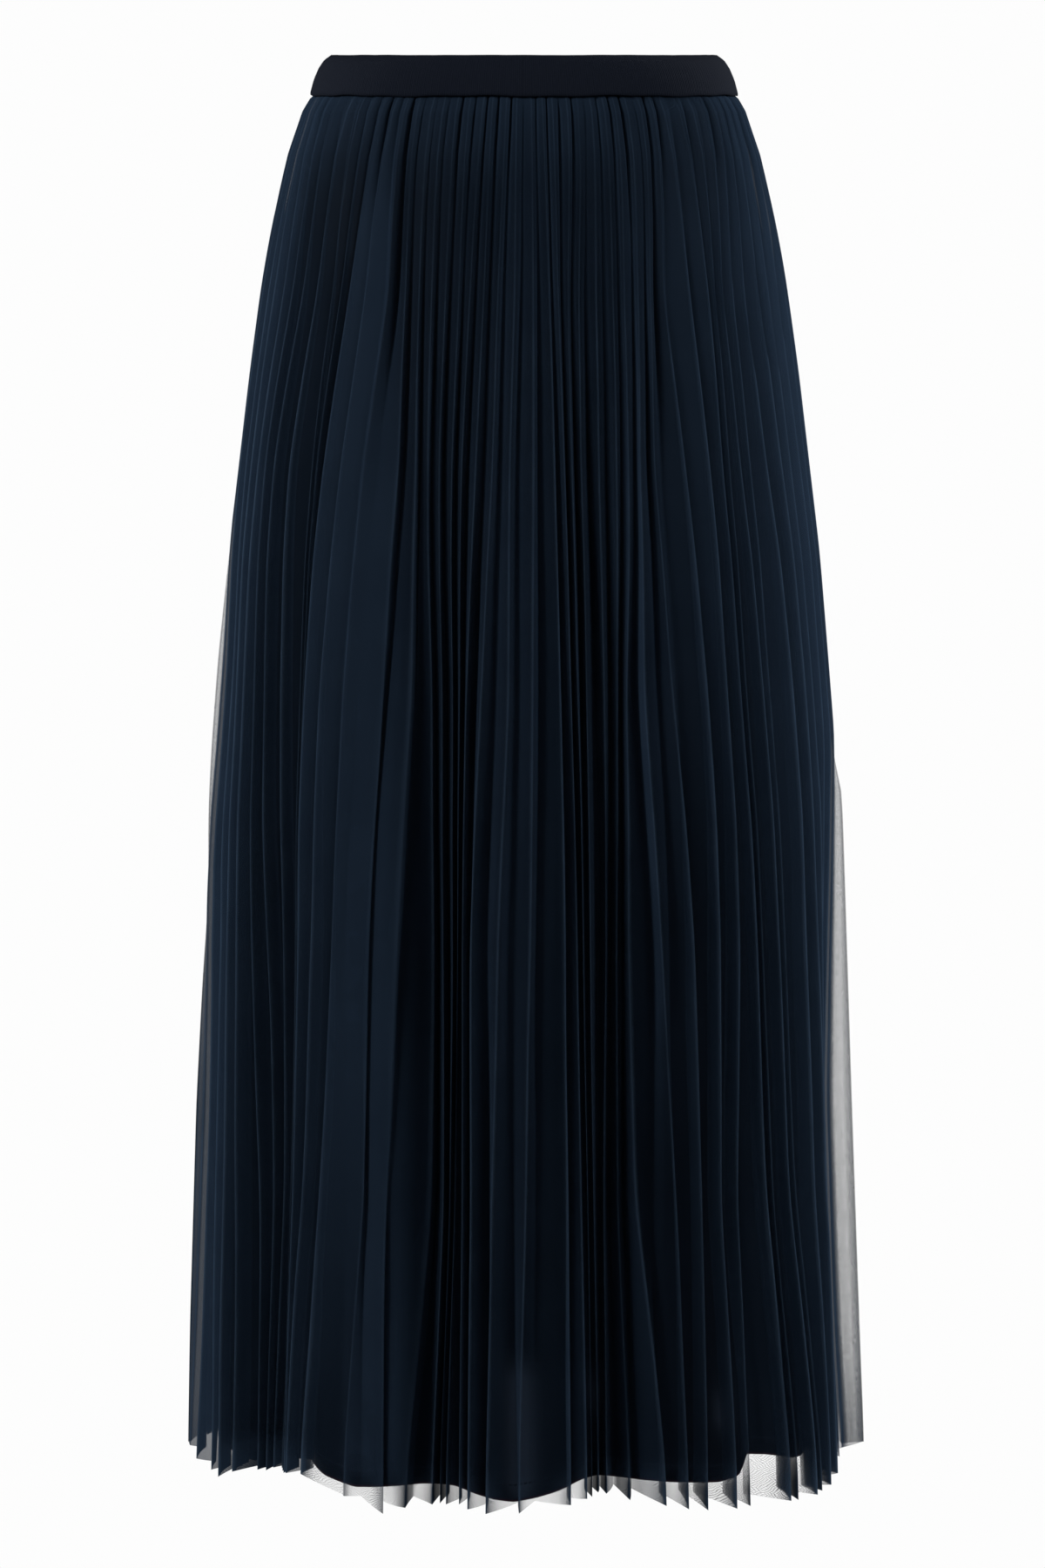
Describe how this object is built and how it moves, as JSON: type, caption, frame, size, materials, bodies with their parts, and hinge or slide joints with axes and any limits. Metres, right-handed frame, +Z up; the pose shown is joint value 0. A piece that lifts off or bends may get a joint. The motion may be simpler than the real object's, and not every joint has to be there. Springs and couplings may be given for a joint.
{
  "type": "pleated maxi skirt",
  "caption": "Long pleated net skirt over a plain lining, gathered on a plain elastic waistband, filled out as if worn and open at waist and hem.",
  "frame": {"origin": "centre of the waistband ring, half way up its height, where a waist holds the skirt", "axes": "+Z up out of the waist, -Y to the skirt's front, +X to the wearer's left"},
  "size_m": [0.4517, 0.3798, 0.9411],
  "materials": {
    "net": "fine soft net in midnight navy, see-through where it is one or two plies thick",
    "lining": "smooth opaque woven lining in dark navy with a faint sheen",
    "band": "matt knitted elastic with fine upright ribs in dark navy"
  },
  "bodies": {
    "root": {"waistband": "band", "net_front": "net", "net_back": "net", "lining_front": "lining", "lining_back": "lining"}
  },
  "joints": []
}
